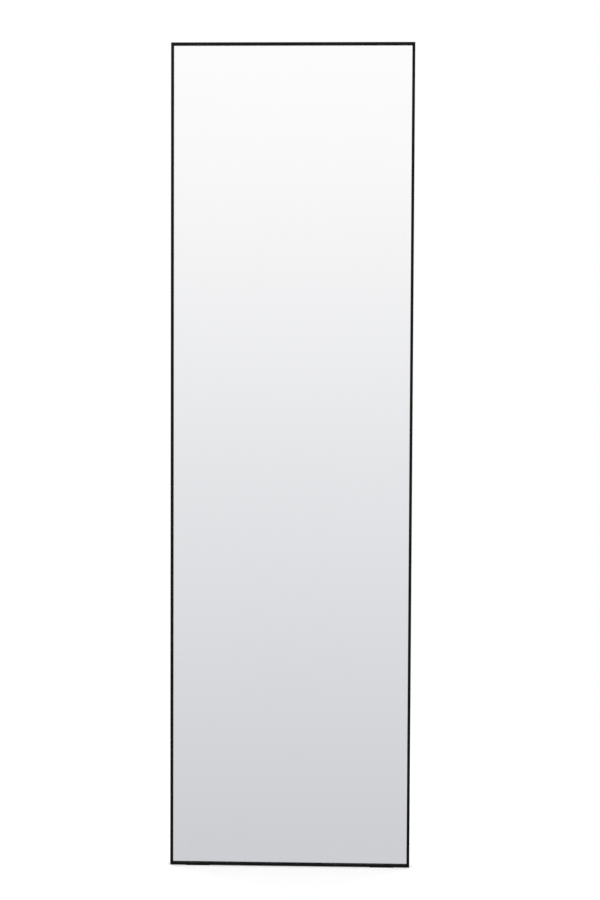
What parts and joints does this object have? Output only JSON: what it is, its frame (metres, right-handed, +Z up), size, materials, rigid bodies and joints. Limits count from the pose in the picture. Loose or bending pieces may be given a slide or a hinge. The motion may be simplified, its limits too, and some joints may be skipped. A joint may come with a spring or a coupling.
{
  "type": "leaning floor mirror",
  "caption": "Tall floor mirror in a slim black mitred metal frame that leans on rubber feet and wall bumpers, with swinging D-rings behind to hang it by.",
  "frame": {"origin": "bottom centre of the whole mirror's box, on the floor plane, upright", "axes": "+X to the right seen from the front, the glass faces -Y, +Y towards the wall, +Z up"},
  "size_m": [0.61, 0.042, 2.0815],
  "materials": {
    "frame_black": "satin black powder coat on aluminium",
    "rail_black": "black powder coat on folded steel",
    "float_glass": "clear float glass, polished",
    "silvering": "silvered",
    "safety_film": "matt grey film",
    "backing_board": "raw medium-density fibreboard",
    "glazing_foam": "closed-cell foam tape",
    "black_rubber": "moulded rubber, matt",
    "zinc_steel": "bright zinc plate",
    "nickel_wire": "nickel plate",
    "spring_steel": "blued spring steel",
    "black_oxide_steel": "black oxide"
  },
  "bodies": {
    "mirror_panel": {"backing_board": "backing_board", "bottom_rail": "frame_black", "bumper_screws": "zinc_steel", "corner_plate_bottom_left": "zinc_steel", "corner_plate_bottom_right": "zinc_steel", "corner_plate_top_left": "zinc_steel", "corner_plate_top_right": "zinc_steel", "corner_set_screws": "black_oxide_steel", "corner_shim_bottom_left": "zinc_steel", "corner_shim_bottom_right": "zinc_steel", "corner_shim_top_left": "zinc_steel", "corner_shim_top_right": "zinc_steel", "cross_rail_screws": "zinc_steel", "edge_spacers": "black_rubber", "floor_foot_left": "black_rubber", "floor_foot_right": "black_rubber", "foot_screws": "zinc_steel", "glazing_tape_bottom": "glazing_foam", "glazing_tape_left": "glazing_foam", "glazing_tape_right": "glazing_foam", "glazing_tape_top": "glazing_foam", "hanger_nuts": "zinc_steel", "hanger_screws": "zinc_steel", "hanger_strap_left": "zinc_steel", "hanger_strap_right": "zinc_steel", "left_stile": "frame_black", "lower_cross_rail": "rail_black", "mirror_glass": "float_glass", "right_stile": "frame_black", "safety_film": "safety_film", "screw_washers": "zinc_steel", "setting_block_left": "black_rubber", "setting_block_right": "black_rubber", "silver_coating": "silvering", "slot_nuts": "zinc_steel", "spring_clips": "spring_steel", "top_rail": "frame_black", "upper_cross_rail": "rail_black", "wall_bumper_bottom_left": "black_rubber", "wall_bumper_bottom_right": "black_rubber", "wall_bumper_top_left": "black_rubber", "wall_bumper_top_right": "black_rubber"},
    "d_ring_left": {"d_ring_left": "nickel_wire"},
    "d_ring_right": {"d_ring_right": "nickel_wire"}
  },
  "joints": [
    {"name": "d_ring_left_swing", "type": "hinge", "parent": "mirror_panel", "child": "d_ring_left", "pos_m": [-0.2, 0.0139, 1.5825], "axis": [1, 0, 0], "range_deg": [0, 180]},
    {"name": "d_ring_right_swing", "type": "hinge", "parent": "mirror_panel", "child": "d_ring_right", "pos_m": [0.2, 0.0139, 1.5825], "axis": [1, 0, 0], "range_deg": [0, 180]}
  ]
}
